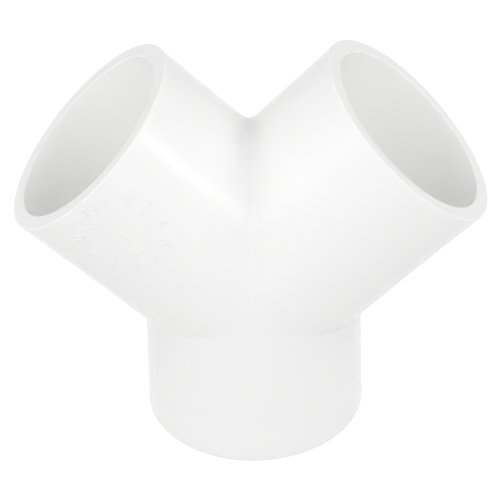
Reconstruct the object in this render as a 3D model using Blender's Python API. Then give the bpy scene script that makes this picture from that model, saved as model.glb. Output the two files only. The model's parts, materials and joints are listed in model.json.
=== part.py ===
"""Y connector for 50 mm PVC pipe: one moulded piece with three equal sockets.

Three legs of one diameter meet at a junction. Two arms rise at 45 degrees to
either side and one leg points straight down. Every leg ends in a socket for the
pipe, with a stop step at its bottom, and the waterways join behind the stops.

Run it with: blender --background --python part.py, or from the text editor.
Metres, +Z up. The fitting stands on the mouth of its lower leg, and the origin
is the centre of that mouth.
"""

import math

import bmesh
import bpy
from mathutils import Vector

# Pipe and socket
PIPE_DIAMETER = 0.0500
MOUTH_CLEARANCE = 0.0003  # socket mouth over the pipe, on the diameter
SOCKET_TAPER = 0.0004  # on the diameter, mouth to stop, so that the pipe grips
SOCKET_DEPTH = 0.0310
STOP_STEP = 0.0008  # height of the step that stops the pipe
STOP_LAND = 0.0038  # straight waterway between the junction and the stop

# Outer form
SOCKET_WALL = 0.00425  # at the mouth
MOUTH_FLARE = 0.00035  # draft: the mouth's outer radius over the hub's
HUB_LAND = 0.0010  # plain hub between the last fillet and the flare
ARM_ANGLE = math.radians(45)  # between an arm and the vertical

# Fillets and edge rounds
CROTCH_FILLET = 0.0027  # in the valley between the two arms
LEG_FILLET = 0.0012  # where the arms run into the lower leg
MOUTH_OUTER_ROUND = 0.0005
MOUTH_INNER_ROUND = 0.0004

# Facets
AROUND = 72  # a multiple of four, so that a facet edge lies on every mitre end
FILLET_STEPS = 3
ROUND_STEPS = 2
WELD = 1e-6
SHARP_ANGLE = math.radians(30)  # steeper edges are shaded sharp

# Finish
PVC_COLOUR = (0.90, 0.90, 0.895, 1.0)
PVC_ROUGHNESS = 0.28

# Sizes that follow
MOUTH_RADIUS = (PIPE_DIAMETER + MOUTH_CLEARANCE) / 2
ROOT_RADIUS = MOUTH_RADIUS - SOCKET_TAPER / 2
WATERWAY_RADIUS = ROOT_RADIUS - STOP_STEP
OUTER_RADIUS = MOUTH_RADIUS + SOCKET_WALL
HUB_RADIUS = OUTER_RADIUS - MOUTH_FLARE

FRONT = Vector((0.0, -1.0, 0.0))
HALF_ANGLE_OF_ARMS = ARM_ANGLE
HALF_ANGLE_TO_LEG = (math.pi - ARM_ANGLE) / 2


class Neighbour:
    """What a leg meets on one side: half the angle to it, and the fillet there."""

    def __init__(self, half_angle, fillet):
        self.half_angle = half_angle
        self.fillet = fillet

    def mitre(self, radius, sine):
        """How far along the leg its wall of this radius runs into the neighbour's."""
        return radius * sine / math.tan(self.half_angle)


OTHER_ARM = Neighbour(HALF_ANGLE_OF_ARMS, CROTCH_FILLET)
LOWER_LEG = Neighbour(HALF_ANGLE_TO_LEG, LEG_FILLET)


class Leg:
    """One socketed leg, measured from the junction's centre.

    axis points out of the mouth. side is square to it, in the plane of the Y.
    The leg meets the first neighbour on the side's half, the second on the other.
    """

    def __init__(self, axis, side, neighbours):
        self.axis = axis
        self.side = side
        self.neighbours = neighbours
        nearest = min(n.half_angle for n in neighbours)
        self.stop = WATERWAY_RADIUS / math.tan(nearest) + STOP_LAND
        self.length = self.stop + SOCKET_DEPTH
        reach = max(n.mitre(HUB_RADIUS + n.fillet, 1.0) for n in neighbours)
        self.flare_start = reach + HUB_LAND

    def at(self, along, radius, angle):
        """The point this far along the axis and out from it. Angle 0 is the front."""
        return self.axis * along + self.radial(angle) * radius

    def radial(self, angle):
        return FRONT * math.cos(angle) + self.side * math.sin(angle)

    def facing(self, angle):
        """The neighbour that this angle looks at, and the side that it is on."""
        if math.sin(angle) >= 0:
            return self.neighbours[0], self.side
        return self.neighbours[1], -self.side


def arm(hand):
    """The arm on the right for hand +1, on the left for hand -1."""
    sine, cosine = math.sin(ARM_ANGLE), math.cos(ARM_ANGLE)
    axis = Vector((hand * sine, 0.0, cosine))
    side = Vector((-hand * cosine, 0.0, sine))
    return Leg(axis, side, (OTHER_ARM, LOWER_LEG))


def lower_leg():
    axis = Vector((0.0, 0.0, -1.0))
    side = Vector((1.0, 0.0, 0.0))
    return Leg(axis, side, (LOWER_LEG, LOWER_LEG))


def fillet_point(leg, angle, share):
    """A point of the rolling-ball fillet between this leg and its neighbour.

    Share 0 lies on the mitre plane and share 1 where the ball touches the leg.
    """
    neighbour, side = leg.facing(angle)
    offset_radius = HUB_RADIUS + neighbour.fillet
    along = neighbour.mitre(offset_radius, abs(math.sin(angle)))
    centre = leg.at(along, offset_radius, angle)
    touching = leg.radial(angle)
    plane_normal = side * math.cos(neighbour.half_angle) - leg.axis * math.sin(
        neighbour.half_angle
    )
    on_plane = (touching - plane_normal * touching.dot(plane_normal)).normalized()
    return centre - on_plane.slerp(touching, share) * neighbour.fillet


def round_profile(along, radius, size, start, end):
    """Points (along, radius) of a mouth's edge round, between two angles."""
    points = []
    for step in range(ROUND_STEPS + 1):
        angle = start + (end - start) * step / ROUND_STEPS
        points.append(
            (along + size * math.sin(angle), radius + size * math.cos(angle))
        )
    return points


def turned_profile(leg):
    """The leg's section outside the junction, from the hub to the pipe stop."""
    profile = [(leg.flare_start, HUB_RADIUS)]
    profile += round_profile(
        leg.length - MOUTH_OUTER_ROUND,
        OUTER_RADIUS - MOUTH_OUTER_ROUND,
        MOUTH_OUTER_ROUND,
        0.0,
        math.pi / 2,
    )
    profile += round_profile(
        leg.length - MOUTH_INNER_ROUND,
        MOUTH_RADIUS + MOUTH_INNER_ROUND,
        MOUTH_INNER_ROUND,
        math.pi / 2,
        math.pi,
    )
    profile.append((leg.stop, ROOT_RADIUS))
    profile.append((leg.stop, WATERWAY_RADIUS))
    return profile


def section_at(leg, angle):
    """The leg's section at one angle, from the outer mitre to the inner one."""
    points = [
        fillet_point(leg, angle, step / FILLET_STEPS)
        for step in range(FILLET_STEPS + 1)
    ]
    points += [leg.at(along, radius, angle) for along, radius in turned_profile(leg)]
    neighbour, _ = leg.facing(angle)
    inner_mitre = neighbour.mitre(WATERWAY_RADIUS, abs(math.sin(angle)))
    points.append(leg.at(inner_mitre, WATERWAY_RADIUS, angle))
    return points


def add_leg(bm, leg):
    """Adds the leg's skin: one strip of faces between each two sections."""
    angles = [2 * math.pi * step / AROUND for step in range(AROUND)]
    sections = [[bm.verts.new(p) for p in section_at(leg, a)] for a in angles]
    for index, section in enumerate(sections):
        following = sections[(index + 1) % AROUND]
        for row in range(len(section) - 1):
            bm.faces.new(
                (section[row], section[row + 1], following[row + 1], following[row])
            )


def pvc_material():
    material = bpy.data.materials.new("pvc")
    material.use_nodes = True
    shader = material.node_tree.nodes["Principled BSDF"]
    shader.inputs["Base Color"].default_value = PVC_COLOUR
    shader.inputs["Roughness"].default_value = PVC_ROUGHNESS
    shader.inputs["Metallic"].default_value = 0.0
    material.diffuse_color = PVC_COLOUR
    return material


def y_connector():
    """The whole fitting, which is one piece. The legs weld along their mitres."""
    bm = bmesh.new()
    legs = {"left": arm(-1), "right": arm(1), "lower": lower_leg()}
    for leg in legs.values():
        add_leg(bm, leg)
    bmesh.ops.remove_doubles(bm, verts=bm.verts, dist=WELD)
    bmesh.ops.dissolve_degenerate(bm, edges=bm.edges, dist=WELD)
    bmesh.ops.recalc_face_normals(bm, faces=bm.faces)
    mesh = bpy.data.meshes.new("y_connector")
    bm.to_mesh(mesh)
    bm.free()
    mesh.materials.append(pvc_material())
    mesh.shade_smooth()
    mesh.set_sharp_from_angle(angle=SHARP_ANGLE)
    body = bpy.data.objects.new("y_connector", mesh)
    body.location = (0.0, 0.0, legs["lower"].length)
    bpy.context.scene.collection.objects.link(body)
    return body


def main():
    for obj in list(bpy.data.objects):
        bpy.data.objects.remove(obj, do_unlink=True)
    y_connector()


main()
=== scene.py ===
"""Looks of the moulded PVC Y connector: fine skin, moulded dial, finish, studio and camera.

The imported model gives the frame. One fine mesh replaces its faceted body, with the
same sizes, and a raised number dial sits on the front of the left arm.
"""

import json
import math

import bmesh
import bpy
from mathutils import Matrix, Vector


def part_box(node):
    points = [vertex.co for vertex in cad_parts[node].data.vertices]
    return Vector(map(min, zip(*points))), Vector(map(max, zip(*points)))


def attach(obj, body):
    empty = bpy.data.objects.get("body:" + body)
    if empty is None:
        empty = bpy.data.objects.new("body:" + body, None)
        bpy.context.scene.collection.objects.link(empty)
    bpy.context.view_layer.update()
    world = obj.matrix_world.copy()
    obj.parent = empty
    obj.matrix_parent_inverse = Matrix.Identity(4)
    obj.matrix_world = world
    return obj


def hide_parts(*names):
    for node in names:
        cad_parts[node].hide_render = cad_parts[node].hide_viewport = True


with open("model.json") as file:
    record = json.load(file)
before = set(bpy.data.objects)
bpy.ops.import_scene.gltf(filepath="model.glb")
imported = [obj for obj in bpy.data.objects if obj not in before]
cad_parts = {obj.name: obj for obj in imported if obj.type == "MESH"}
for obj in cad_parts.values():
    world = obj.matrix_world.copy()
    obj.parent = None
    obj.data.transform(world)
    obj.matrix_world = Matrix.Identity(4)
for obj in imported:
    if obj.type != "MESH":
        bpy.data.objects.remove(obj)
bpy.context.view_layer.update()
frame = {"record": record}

# Sizes that the frame gives
NODE = "y_connector"
MOUNTS = {mount["name"]: mount for mount in frame["record"]["mounts"]}
MOUTH_X = MOUNTS["mouth_right"]["pos_m"][0]
MOUTH_Z = MOUNTS["mouth_right"]["pos_m"][2]
LOWEST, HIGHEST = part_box(NODE)
OUTER_RADIUS = (HIGHEST.y - LOWEST.y) / 2
ARM_ANGLE = math.radians(45)
ARM_LENGTH = MOUTH_X / math.sin(ARM_ANGLE)
LEG_LENGTH = MOUTH_Z - ARM_LENGTH * math.cos(ARM_ANGLE)
JUNCTION = Vector((0.0, 0.0, LEG_LENGTH))

# Sizes of the moulding, in metres
SOCKET_WALL = 0.00425
SOCKET_TAPER = 0.0004
SOCKET_DEPTH = 0.0310
STOP_STEP = 0.0008
MOUTH_FLARE = 0.00035
HUB_LAND = 0.0010
CROTCH_FILLET = 0.0027
LEG_FILLET = 0.0012
MOUTH_OUTER_ROUND = 0.0005
MOUTH_INNER_ROUND = 0.0004
STOP_ROUND = 0.00015

MOUTH_RADIUS = OUTER_RADIUS - SOCKET_WALL
ROOT_RADIUS = MOUTH_RADIUS - SOCKET_TAPER / 2
WATERWAY_RADIUS = ROOT_RADIUS - STOP_STEP
HUB_RADIUS = OUTER_RADIUS - MOUTH_FLARE

# Fineness of the skin
AROUND = 288  # a multiple of four, so that a facet edge lies on every mitre end
FILLET_STEPS = 10
ROUND_STEPS = 6
FLARE_ROWS = 3  # rows of points between the hub and the mouth
SUPPORT = 0.0006  # a row of faces this far beside each edge round keeps it crisp
FILLET_SUPPORT = 0.0003  # the same beside each fillet
WELD = 1e-6
SHARP_ANGLE = math.radians(35)  # steeper edges are shaded sharp

FRONT = Vector((0.0, -1.0, 0.0))


class Leg:
    """One leg, from the junction out. Its side is square to it, in the plane of the Y.

    Each neighbour is half the angle to it and the fillet there: the first lies on the
    side's half of the leg, the second on the other half.
    """

    def __init__(self, axis, side, length, neighbours):
        self.axis = axis
        self.side = side
        self.length = length
        self.stop = length - SOCKET_DEPTH
        self.neighbours = neighbours
        reach = max(self.mitre(HUB_RADIUS + f, a, 1.0) for a, f in neighbours)
        self.flare_start = reach + HUB_LAND

    @staticmethod
    def mitre(radius, half_angle, sine):
        """How far along the leg its wall of this radius runs into the neighbour's."""
        return radius * sine / math.tan(half_angle)

    def radial(self, angle):
        """The unit vector out from the axis at this angle. Angle 0 is the front."""
        return FRONT * math.cos(angle) + self.side * math.sin(angle)

    def at(self, along, radius, angle):
        """The point this far along the axis and out from it."""
        return JUNCTION + self.axis * along + self.radial(angle) * radius

    def outer_radius(self, along):
        """The outer wall's radius where it flares from the hub to the mouth."""
        share = (along - self.flare_start) / (self.length - self.flare_start)
        return HUB_RADIUS + MOUTH_FLARE * min(max(share, 0.0), 1.0)


def make_legs():
    """The three legs by name: the two arms and the lower leg."""
    sine, cosine = math.sin(ARM_ANGLE), math.cos(ARM_ANGLE)
    other_arm = (ARM_ANGLE, CROTCH_FILLET)
    lower_leg = ((math.pi - ARM_ANGLE) / 2, LEG_FILLET)
    legs = {}
    for name, hand in (("left", -1), ("right", 1)):
        axis = Vector((hand * sine, 0.0, cosine))
        side = Vector((-hand * cosine, 0.0, sine))
        legs[name] = Leg(axis, side, ARM_LENGTH, (other_arm, lower_leg))
    down, across = Vector((0.0, 0.0, -1.0)), Vector((1.0, 0.0, 0.0))
    legs["lower"] = Leg(down, across, LEG_LENGTH, (lower_leg, lower_leg))
    return legs


def fillet_points(leg, angle):
    """The rolling ball's arc, from the mitre plane to the leg's wall, and a row beside it."""
    on_side = math.sin(angle) >= 0
    half_angle, fillet = leg.neighbours[0 if on_side else 1]
    side = leg.side if on_side else -leg.side
    along = leg.mitre(HUB_RADIUS + fillet, half_angle, abs(math.sin(angle)))
    centre = leg.at(along, HUB_RADIUS + fillet, angle)
    touching = leg.radial(angle)
    normal = side * math.cos(half_angle) - leg.axis * math.sin(half_angle)
    on_plane = (touching - normal * touching.dot(normal)).normalized()
    points = []
    for step in range(FILLET_STEPS + 1):
        towards = on_plane.slerp(touching, step / FILLET_STEPS)
        points.append(centre - towards * fillet)
    points.append(leg.at(along + FILLET_SUPPORT, HUB_RADIUS, angle))
    return points


def rounded(along, radius, size, start, end):
    """Points (along, radius) of an edge round, between two angles."""
    points = []
    for step in range(ROUND_STEPS + 1):
        angle = math.radians(start + (end - start) * step / ROUND_STEPS)
        points.append((along + size * math.sin(angle), radius + size * math.cos(angle)))
    return points


def turned_profile(leg):
    """The leg's section as points (along, radius), from the hub to the waterway."""
    mouth, stop = leg.length, leg.stop
    taper = SOCKET_TAPER / 2 / SOCKET_DEPTH
    outer_round_start = mouth - MOUTH_OUTER_ROUND
    inner_round_end = mouth - MOUTH_INNER_ROUND
    profile = [(leg.flare_start, HUB_RADIUS)]
    for row in range(1, FLARE_ROWS + 1):
        share = row / (FLARE_ROWS + 1)
        along = leg.flare_start + share * (outer_round_start - leg.flare_start)
        profile.append((along, leg.outer_radius(along)))
    along = outer_round_start - SUPPORT
    profile.append((along, leg.outer_radius(along)))
    centre_radius = OUTER_RADIUS - MOUTH_OUTER_ROUND
    profile += rounded(outer_round_start, centre_radius, MOUTH_OUTER_ROUND, 0, 90)
    profile.append((mouth, centre_radius - SUPPORT))
    centre_radius = MOUTH_RADIUS + MOUTH_INNER_ROUND
    profile.append((mouth, centre_radius + SUPPORT))
    profile += rounded(inner_round_end, centre_radius, MOUTH_INNER_ROUND, 90, 180)
    profile.append((inner_round_end - SUPPORT, MOUTH_RADIUS - taper * SUPPORT))
    profile.append((stop + SUPPORT, ROOT_RADIUS + taper * SUPPORT))
    profile.append((stop, ROOT_RADIUS))
    centre_radius = WATERWAY_RADIUS + STOP_ROUND
    profile += rounded(stop - STOP_ROUND, centre_radius, STOP_ROUND, 90, 180)
    return profile


def section_at(leg, angle):
    """The leg's section at one angle, from the outer mitre to the inner one."""
    points = fillet_points(leg, angle)
    points += [leg.at(along, radius, angle) for along, radius in turned_profile(leg)]
    half_angle = leg.neighbours[0 if math.sin(angle) >= 0 else 1][0]
    along = leg.mitre(WATERWAY_RADIUS, half_angle, abs(math.sin(angle)))
    points.append(leg.at(along, WATERWAY_RADIUS, angle))
    return points


def add_leg(bm, leg):
    """Adds the leg's skin: one strip of faces between each two sections."""
    angles = [2 * math.pi * step / AROUND for step in range(AROUND)]
    sections = [[bm.verts.new(p) for p in section_at(leg, a)] for a in angles]
    for index, section in enumerate(sections):
        following = sections[(index + 1) % AROUND]
        for row in range(len(section) - 1):
            corners = (section[row], section[row + 1], following[row + 1], following[row])
            bm.faces.new(corners)


def new_piece(name, bm, material):
    """An object from a bmesh, smooth-shaded, which rides on the root and is PVC."""
    mesh = bpy.data.meshes.new(name)
    bm.to_mesh(mesh)
    bm.free()
    mesh.materials.append(material)
    mesh.shade_smooth()
    mesh.set_sharp_from_angle(angle=SHARP_ANGLE)
    piece = bpy.data.objects.new(name, mesh)
    bpy.context.scene.collection.objects.link(piece)
    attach(piece, "root")
    return piece


def make_body(legs, material):
    """The fine skin of the whole moulding. The legs weld along their mitres."""
    bm = bmesh.new()
    for leg in legs.values():
        add_leg(bm, leg)
    bmesh.ops.remove_doubles(bm, verts=bm.verts, dist=WELD)
    bmesh.ops.dissolve_degenerate(bm, edges=bm.edges, dist=WELD)
    bmesh.ops.recalc_face_normals(bm, faces=bm.faces)
    body = new_piece("moulded_body", bm, material)
    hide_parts(NODE)
    return body


# Number dial on the front of the left arm, where mouldings carry such marks
DIAL_ALONG = 0.0447  # from the junction to its centre, along the arm
DIAL_ANGLE = math.radians(-3)  # round the arm from its front, below zero towards the lower leg
DIAL_NUMBERS = 12
NUMBER_RING = 0.0106  # radius to the middle of a number
NUMBER_SIZE = 0.0044
NUMBER_CURVE_STEPS = 3
NUMBER_WEIGHT = 0.00016  # how much bolder than the font's own strokes, on each side
TICK_RING = 0.0073  # radius to the middle of a tick
TICK_LENGTH = 0.0014
TICK_WIDTH = 0.0007
ARROW_LENGTH = 0.0062
ARROW_HEAD = 0.0022
MARK_RELIEF = 0.00026
MARK_ROOT = 0.00012  # how deep the marks' undersides sit in the wall
MARK_DRAFT = 0.00017  # how much a mark narrows from its foot to its top


def on_arm(leg, across, along, height):
    """A point of the dial's flat drawing, laid round the arm's outer wall."""
    station = DIAL_ALONG + along
    angle = DIAL_ANGLE + across / HUB_RADIUS
    return leg.at(station, leg.outer_radius(station) + height, angle)


def turned_by(point, angle):
    """A point of the flat drawing turned about the dial's centre."""
    cosine, sine = math.cos(angle), math.sin(angle)
    x, y = point
    return (x * cosine - y * sine, x * sine + y * cosine)


def bar_outline(length, width):
    """An upright bar round the dial's centre, counter-clockwise."""
    half_length, half_width = length / 2, width / 2
    return [
        (-half_width, -half_length),
        (half_width, -half_length),
        (half_width, half_length),
        (-half_width, half_length),
    ]


def add_raised(bm, leg, outline):
    """Adds a raised mark with sloping sides from a flat outline, counter-clockwise."""
    middle_x = sum(x for x, _ in outline) / len(outline)
    middle_y = sum(y for _, y in outline) / len(outline)
    foot = [bm.verts.new(on_arm(leg, x, y, -MARK_ROOT)) for x, y in outline]
    top = []
    for x, y in outline:
        inward = Vector((middle_x - x, middle_y - y)).normalized() * MARK_DRAFT
        top.append(bm.verts.new(on_arm(leg, x + inward.x, y + inward.y, MARK_RELIEF)))
    bm.faces.new(top)
    bm.faces.new(list(reversed(foot)))
    for i in range(len(outline)):
        j = (i + 1) % len(outline)
        bm.faces.new((foot[i], foot[j], top[j], top[i]))


def number_mesh(text):
    """A flat number as a mesh with thickness, centred, from Blender's own font."""
    curve = bpy.data.curves.new("number", "FONT")
    curve.body = text
    curve.size = NUMBER_SIZE
    curve.align_x = "CENTER"
    curve.align_y = "CENTER"
    curve.resolution_u = NUMBER_CURVE_STEPS
    curve.extrude = (MARK_RELIEF + MARK_ROOT) / 2 - MARK_DRAFT
    curve.bevel_depth = MARK_DRAFT
    curve.bevel_resolution = 1
    curve.offset = NUMBER_WEIGHT - MARK_DRAFT
    holder = bpy.data.objects.new("number", curve)
    bpy.context.scene.collection.objects.link(holder)
    bpy.context.view_layer.update()
    evaluated = holder.evaluated_get(bpy.context.evaluated_depsgraph_get())
    mesh = bpy.data.meshes.new_from_object(evaluated)
    bpy.data.objects.remove(holder, do_unlink=True)
    bpy.data.curves.remove(curve)
    return mesh


def add_number(bm, leg, text, angle):
    """Adds a raised number, centred on the ring at this angle of the dial."""
    mesh = number_mesh(text)
    flat = bmesh.new()
    flat.from_mesh(mesh)
    bpy.data.meshes.remove(mesh)
    bmesh.ops.remove_doubles(flat, verts=flat.verts, dist=WELD)
    bmesh.ops.triangulate(flat, faces=flat.faces)
    middle = (MARK_RELIEF - MARK_ROOT) / 2
    placed = {}
    for vert in flat.verts:
        x, y = turned_by((vert.co.x, vert.co.y + NUMBER_RING), angle)
        placed[vert] = bm.verts.new(on_arm(leg, x, y, middle + vert.co.z))
    for face in flat.faces:
        bm.faces.new([placed[v] for v in face.verts])
    flat.free()


def make_dial(leg, material):
    """A ring of numbers and ticks round an arrow, all raised from the arm's wall."""
    bm = bmesh.new()
    for number in range(1, DIAL_NUMBERS + 1):
        angle = -2 * math.pi * number / DIAL_NUMBERS
        add_number(bm, leg, str(number), angle)
        tick = [(x, y + TICK_RING) for x, y in bar_outline(TICK_LENGTH, TICK_WIDTH)]
        add_raised(bm, leg, [turned_by(p, angle) for p in tick])
    shaft_length = ARROW_LENGTH - ARROW_HEAD
    shaft = [(x, y - ARROW_HEAD / 2) for x, y in bar_outline(shaft_length, TICK_WIDTH)]
    add_raised(bm, leg, shaft)
    base = shaft_length / 2 - ARROW_HEAD / 2
    head = [(-ARROW_HEAD / 2, base), (ARROW_HEAD / 2, base), (0.0, base + ARROW_HEAD)]
    add_raised(bm, leg, head)
    bmesh.ops.recalc_face_normals(bm, faces=bm.faces)
    return new_piece("moulded_dial", bm, material)


# Finish of the moulding
PVC_COLOUR = (0.902, 0.902, 0.899)
PVC_IOR = 1.53
GLOSSIEST = 0.21
DULLEST = 0.26  # the roughness varies between these two
GLOSS_NOISE = {"Scale": 240.0, "Detail": 4.0, "Roughness": 0.6}
WAVINESS_NOISE = {"Scale": 60.0, "Detail": 1.0, "Roughness": 0.4}
WAVINESS_BUMP = {"Strength": 0.5, "Distance": 0.0001}
GRAIN_NOISE = {"Scale": 1400.0, "Detail": 3.0, "Roughness": 0.5}
GRAIN_BUMP = {"Strength": 0.25, "Distance": 0.00002}


def add_node(nodes, kind, settings):
    """A shader node of this kind, with its input values set by name."""
    node = nodes.new(kind)
    for name, value in settings.items():
        node.inputs[name].default_value = value
    return node


def pvc_material():
    """White PVC: smooth gloss, with the faint grain and waviness of a moulding."""
    material = bpy.data.materials.new("white_pvc")
    material.use_nodes = True
    nodes, links = material.node_tree.nodes, material.node_tree.links
    shader = nodes["Principled BSDF"]
    shader.inputs["Base Color"].default_value = (*PVC_COLOUR, 1.0)
    shader.inputs["IOR"].default_value = PVC_IOR
    shader.inputs["Metallic"].default_value = 0.0
    place = nodes.new("ShaderNodeTexCoord")

    def noise(settings):
        node = add_node(nodes, "ShaderNodeTexNoise", settings)
        links.new(place.outputs["Object"], node.inputs["Vector"])
        return node.outputs["Fac"]

    spread = {"From Min": 0.3, "From Max": 0.7, "To Min": GLOSSIEST, "To Max": DULLEST}
    gloss = add_node(nodes, "ShaderNodeMapRange", spread)
    links.new(noise(GLOSS_NOISE), gloss.inputs["Value"])
    links.new(gloss.outputs["Result"], shader.inputs["Roughness"])

    waviness = add_node(nodes, "ShaderNodeBump", WAVINESS_BUMP)
    links.new(noise(WAVINESS_NOISE), waviness.inputs["Height"])
    grain = add_node(nodes, "ShaderNodeBump", GRAIN_BUMP)
    links.new(noise(GRAIN_NOISE), grain.inputs["Height"])
    links.new(waviness.outputs["Normal"], grain.inputs["Normal"])
    links.new(grain.outputs["Normal"], shader.inputs["Normal"])
    return material


# Studio: white floor and surroundings, and softboxes aimed at the junction
FLOOR_SIZE = 6.0
FLOOR_DROP = 0.00005  # how far it lies below the mouth that stands on it
FLOOR_COLOUR = (0.70, 0.70, 0.70)  # for the light that it sends back to the object
FLOOR_SHOWN_DIFFUSE = (0.5, 0.5, 0.5)  # for the camera and the gloss, with the glow
FLOOR_SHOWN_GLOW = 0.65
SURROUND_COLOUR = (0.38, 0.38, 0.38)
SOFTBOX_DISTANCE = 1.0
STRIP = (0.14, 0.60)  # width and height
PANEL = (1.05, 0.41)
BANK = (0.72, 0.44)
# Azimuth and elevation in degrees. The gloss shows only the boxes that are mirrored.
SOFTBOXES = {
    "key": {"azimuth": 60, "elevation": 24, "size": STRIP, "radiance": 2.5, "mirrored": True},
    "fill": {"azimuth": -54, "elevation": 28, "size": STRIP, "radiance": 0.95, "mirrored": True},
    "front": {"azimuth": 0, "elevation": 22, "size": PANEL, "radiance": 2.8},
    "left": {"azimuth": -60, "elevation": 23, "size": PANEL, "radiance": 0.9},
    "upper_right": {"azimuth": 98, "elevation": 44, "size": BANK, "radiance": 3.4},
    "upper_left": {"azimuth": -98, "elevation": 46, "size": BANK, "radiance": 2.7},
}
TABLE_GLOW = 2.15  # the lit table under the open lower mouth, which lights the waterways
DIFFUSE_BOUNCES = 8  # enough for the light to fill the sockets


def seen_directly(nodes, links):
    """A value of 1 for camera, glossy and transmission rays, which meet the white ground."""
    path = nodes.new("ShaderNodeLightPath")
    first = nodes.new("ShaderNodeMath")
    first.operation = "MAXIMUM"
    links.new(path.outputs["Is Camera Ray"], first.inputs[0])
    links.new(path.outputs["Is Glossy Ray"], first.inputs[1])
    second = nodes.new("ShaderNodeMath")
    second.operation = "MAXIMUM"
    links.new(first.outputs["Value"], second.inputs[0])
    links.new(path.outputs["Is Transmission Ray"], second.inputs[1])
    return second.outputs["Value"]


def floor_material():
    """A white floor that keeps the object's shadow and lights the object plainly."""
    material = bpy.data.materials.new("floor")
    material.use_nodes = True
    nodes, links = material.node_tree.nodes, material.node_tree.links
    nodes.clear()
    output = nodes.new("ShaderNodeOutputMaterial")
    plain = nodes.new("ShaderNodeBsdfDiffuse")
    plain.inputs["Color"].default_value = (*FLOOR_COLOUR, 1.0)
    shown = nodes.new("ShaderNodeBsdfDiffuse")
    shown.inputs["Color"].default_value = (*FLOOR_SHOWN_DIFFUSE, 1.0)
    glow = nodes.new("ShaderNodeEmission")
    glow.inputs["Strength"].default_value = FLOOR_SHOWN_GLOW
    both = nodes.new("ShaderNodeAddShader")
    links.new(shown.outputs["BSDF"], both.inputs[0])
    links.new(glow.outputs["Emission"], both.inputs[1])
    mix = nodes.new("ShaderNodeMixShader")
    links.new(seen_directly(nodes, links), mix.inputs["Fac"])
    links.new(plain.outputs["BSDF"], mix.inputs[1])
    links.new(both.outputs["Shader"], mix.inputs[2])
    links.new(mix.outputs["Shader"], output.inputs["Surface"])
    return material


def make_floor():
    """A wide flat floor just under the mouth that the fitting stands on."""
    bm = bmesh.new()
    bmesh.ops.create_grid(bm, x_segments=1, y_segments=1, size=FLOOR_SIZE / 2)
    mesh = bpy.data.meshes.new("floor")
    bm.to_mesh(mesh)
    bm.free()
    mesh.materials.append(floor_material())
    floor = bpy.data.objects.new("floor", mesh)
    floor.location.z = -FLOOR_DROP
    bpy.context.scene.collection.objects.link(floor)


def make_world():
    """A weak surround lights the object, and the camera and the gloss see plain white."""
    world = bpy.data.worlds.new("studio")
    world.use_nodes = True
    nodes, links = world.node_tree.nodes, world.node_tree.links
    nodes.clear()
    output = nodes.new("ShaderNodeOutputWorld")
    surround = nodes.new("ShaderNodeBackground")
    surround.inputs["Color"].default_value = (*SURROUND_COLOUR, 1.0)
    white = nodes.new("ShaderNodeBackground")
    white.inputs["Color"].default_value = (1.0, 1.0, 1.0, 1.0)
    mix = nodes.new("ShaderNodeMixShader")
    links.new(seen_directly(nodes, links), mix.inputs["Fac"])
    links.new(surround.outputs["Background"], mix.inputs[1])
    links.new(white.outputs["Background"], mix.inputs[2])
    links.new(mix.outputs["Shader"], output.inputs["Surface"])
    bpy.context.scene.world = world


def direction(azimuth, elevation):
    """The unit vector at this azimuth, from the front towards +X, and elevation."""
    a, e = math.radians(azimuth), math.radians(elevation)
    return Vector((math.sin(a) * math.cos(e), -math.cos(a) * math.cos(e), math.sin(e)))


def make_softbox(name, azimuth, elevation, size, radiance, mirrored=False):
    """A rectangular lamp that faces the junction and that the camera doesn't see."""
    width, height = size
    lamp = bpy.data.lights.new(name, "AREA")
    lamp.shape = "RECTANGLE"
    lamp.size, lamp.size_y = width, height
    lamp.energy = radiance * math.pi * width * height
    box = bpy.data.objects.new(name, lamp)
    away = direction(azimuth, elevation)
    box.location = JUNCTION + away * SOFTBOX_DISTANCE
    box.rotation_euler = away.to_track_quat("Z", "Y").to_euler()
    box.visible_glossy = mirrored
    box.visible_camera = False
    bpy.context.scene.collection.objects.link(box)


def make_table_glow():
    """A round lamp that faces up into the lower mouth, as wide as the waterway."""
    lamp = bpy.data.lights.new("table_glow", "AREA")
    lamp.shape = "DISK"
    lamp.size = 2 * WATERWAY_RADIUS
    lamp.energy = TABLE_GLOW * (math.pi * WATERWAY_RADIUS) ** 2
    disc = bpy.data.objects.new("table_glow", lamp)
    disc.rotation_euler = (math.pi, 0.0, 0.0)
    disc.visible_camera = False
    bpy.context.scene.collection.objects.link(disc)


# Camera at the photograph's view, from the shape's own outline
CAMERA_AZIMUTH = 0.615
CAMERA_ELEVATION = 35.966
CAMERA_ROLL = -1.539
CAMERA_DISTANCE = 0.7234
CAMERA_LENS = 195.23
CAMERA_SENSOR = 36.0
CAMERA_CLIP = (0.05, 20.0)
AIM = Vector((-0.0005, 0.0, 0.0040))  # from the junction's centre


def make_camera():
    """The camera looks at a point near the junction, turned a little about its view."""
    data = bpy.data.cameras.new("camera")
    data.lens = CAMERA_LENS
    data.sensor_width = CAMERA_SENSOR
    data.clip_start, data.clip_end = CAMERA_CLIP
    camera = bpy.data.objects.new("camera", data)
    back = direction(CAMERA_AZIMUTH, CAMERA_ELEVATION)
    right = Vector((0.0, 0.0, 1.0)).cross(back).normalized()
    upright = Matrix((right, back.cross(right), back)).transposed()
    roll = Matrix.Rotation(math.radians(CAMERA_ROLL), 3, "Z")
    camera.matrix_world = (upright @ roll).to_4x4()
    camera.location = JUNCTION + AIM + back * CAMERA_DISTANCE
    bpy.context.scene.collection.objects.link(camera)
    bpy.context.scene.camera = camera


legs = make_legs()
pvc = pvc_material()
make_body(legs, pvc)
make_dial(legs["left"], pvc)
make_floor()
make_world()
for softbox_name, settings in SOFTBOXES.items():
    make_softbox(softbox_name, **settings)
make_table_glow()
make_camera()
bpy.context.scene.view_settings.view_transform = "Standard"
bpy.context.scene.cycles.diffuse_bounces = DIFFUSE_BOUNCES
